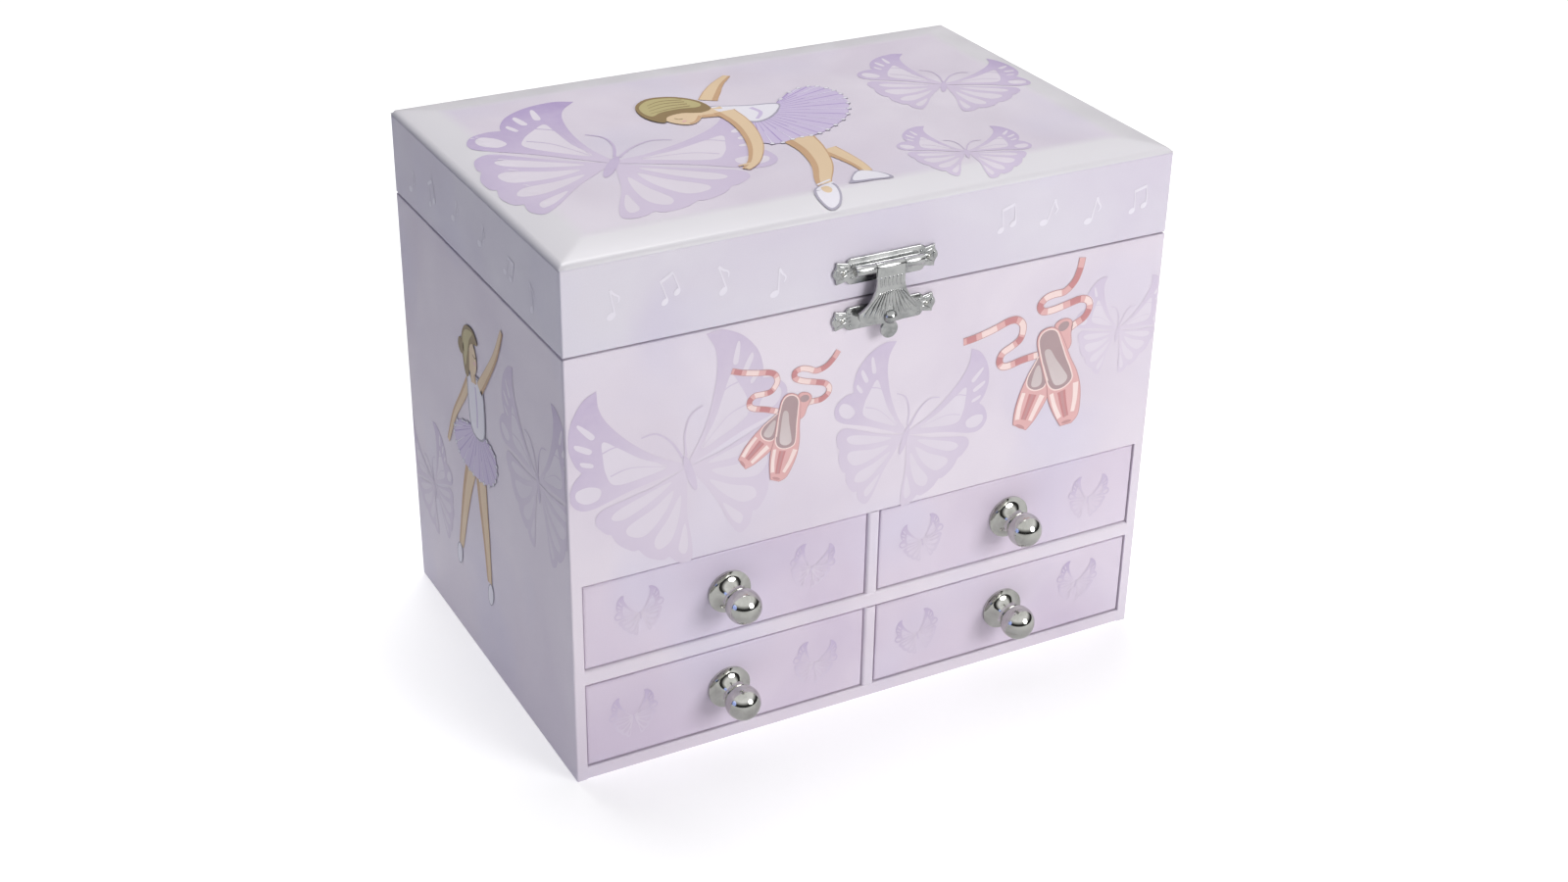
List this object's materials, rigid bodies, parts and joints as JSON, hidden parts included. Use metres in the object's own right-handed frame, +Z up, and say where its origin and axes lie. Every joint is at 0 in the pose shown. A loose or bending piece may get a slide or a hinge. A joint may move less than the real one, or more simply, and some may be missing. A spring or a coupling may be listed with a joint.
{
  "type": "musical jewellery box",
  "caption": "Paper-covered jewellery chest with a padded hinged lid, snap clasp, small drawers on ball knobs and a wind-up movement that turns a dancer.",
  "frame": {"origin": "centre of the flat underside of the base", "axes": "+X to the right along the front, +Y to the back, +Z up"},
  "size_m": [0.225, 0.1831, 0.1906],
  "materials": {
    "printed_board": "satin printed paper over board",
    "padded_print": "satin printed paper over foam",
    "drawer_print": "satin printed paper over board",
    "tray_card": "matt paper-covered card",
    "satin_lining": "satin",
    "ring_velvet": "velvet pile",
    "chrome_plate": "polished plate",
    "nickel_steel": "nickel plated",
    "cast_metal": "as cast",
    "gear_brass": "satin",
    "mirror_glass": "polished",
    "wheel_rubber": "matt",
    "doll_plastic": "moulded plastic",
    "tulle": "sheer net"
  },
  "bodies": {
    "case": {"base_panel": "printed_board", "left_side_panel": "printed_board", "right_side_panel": "printed_board", "front_panel": "printed_board", "back_panel": "printed_board", "compartment_floor": "printed_board", "middle_shelf": "printed_board", "lower_divider": "printed_board", "upper_divider": "printed_board", "compartment_lining": "satin_lining", "compartment_partition": "satin_lining", "ring_cushions": "ring_velvet", "movement_cover": "satin_lining", "movement_bed_plate": "cast_metal", "rear_bearing_plate": "nickel_steel", "front_bearing_plate": "nickel_steel", "movement_bridge": "nickel_steel", "music_comb": "nickel_steel", "stop_wire_guide": "gear_brass", "hinge_body_leaves": "nickel_steel", "hinge_body_screws": "nickel_steel", "hinge_pins": "nickel_steel", "clasp_catch_plate": "chrome_plate"},
    "lid": {"lid_shell": "printed_board", "lid_pad": "padded_print", "lid_lining": "satin_lining", "mirror": "mirror_glass", "mirror_frame": "satin_lining", "lid_stop_block": "satin_lining", "hinge_lid_leaves": "nickel_steel", "hinge_lid_screws": "nickel_steel", "clasp_lid_plate": "chrome_plate", "clasp_pin": "chrome_plate"},
    "hasp": {"clasp_hasp": "chrome_plate"},
    "key": {"winding_key": "chrome_plate", "winding_arbor": "nickel_steel"},
    "barrel": {"spring_barrel": "gear_brass"},
    "cylinder": {"music_cylinder": "gear_brass", "cylinder_arbor": "nickel_steel", "cylinder_pinion": "gear_brass", "governor_drive_wheel": "gear_brass"},
    "governor": {"governor_fan": "nickel_steel"},
    "dancer": {"dancer_spindle": "nickel_steel", "friction_wheel": "wheel_rubber", "turntable": "doll_plastic", "dancer_figure": "doll_plastic", "dancer_tutu": "tulle"},
    "stop_wire": {"stop_wire": "nickel_steel"},
    "lower_left_drawer": {"lower_left_drawer_front": "drawer_print", "lower_left_drawer_tray": "tray_card", "lower_left_drawer_knob": "chrome_plate"},
    "lower_right_drawer": {"lower_right_drawer_front": "drawer_print", "lower_right_drawer_tray": "tray_card", "lower_right_drawer_knob": "chrome_plate"},
    "upper_left_drawer": {"upper_left_drawer_front": "drawer_print", "upper_left_drawer_tray": "tray_card", "upper_left_drawer_knob": "chrome_plate"},
    "upper_right_drawer": {"upper_right_drawer_front": "drawer_print", "upper_right_drawer_tray": "tray_card", "upper_right_drawer_knob": "chrome_plate"}
  },
  "joints": [
    {"name": "lid_hinge", "type": "hinge", "parent": "case", "child": "lid", "pos_m": [0, 0.077, 0.15825], "axis": [-1, 0, 0], "range_deg": [0, 100]},
    {"name": "hasp_hinge", "type": "hinge", "parent": "lid", "child": "hasp", "pos_m": [0, -0.0779, 0.169], "axis": [-1, 0, 0], "range_deg": [0, 110]},
    {"name": "key_wind", "type": "hinge", "parent": "case", "child": "key", "pos_m": [0, 0.08, 0.096], "axis": [0, 1, 0], "continuous": true},
    {"name": "barrel_spin", "type": "hinge", "parent": "case", "child": "barrel", "pos_m": [0, 0.055, 0.096], "axis": [0, 1, 0], "continuous": true},
    {"name": "cylinder_spin", "type": "hinge", "parent": "case", "child": "cylinder", "pos_m": [-0.0175, 0.034, 0.096], "axis": [0, 1, 0], "continuous": true},
    {"name": "governor_spin", "type": "hinge", "parent": "case", "child": "governor", "pos_m": [-0.0055, 0.028, 0.096], "axis": [0, 1, 0], "continuous": true},
    {"name": "dancer_spin", "type": "hinge", "parent": "case", "child": "dancer", "pos_m": [0, 0.0397, 0.11], "axis": [0, 0, 1], "continuous": true},
    {"name": "stop_wire_lift", "type": "slide", "parent": "case", "child": "stop_wire", "axis": [0, 0, 1], "range_m": [0, 0.004]},
    {"name": "lower_left_drawer_slide", "type": "slide", "parent": "case", "child": "lower_left_drawer", "axis": [0, -1, 0], "range_m": [0, 0.1]},
    {"name": "lower_right_drawer_slide", "type": "slide", "parent": "case", "child": "lower_right_drawer", "axis": [0, -1, 0], "range_m": [0, 0.1]},
    {"name": "upper_left_drawer_slide", "type": "slide", "parent": "case", "child": "upper_left_drawer", "axis": [0, -1, 0], "range_m": [0, 0.1]},
    {"name": "upper_right_drawer_slide", "type": "slide", "parent": "case", "child": "upper_right_drawer", "axis": [0, -1, 0], "range_m": [0, 0.1]}
  ],
  "couplings": [
    {"joint": "cylinder_spin", "follows": "barrel_spin", "ratio": -2.5},
    {"joint": "governor_spin", "follows": "barrel_spin", "ratio": 7.5},
    {"joint": "dancer_spin", "follows": "barrel_spin", "ratio": -1.2987},
    {"joint": "stop_wire_lift", "follows": "lid_hinge", "m_per_rad": 0.00229}
  ]
}
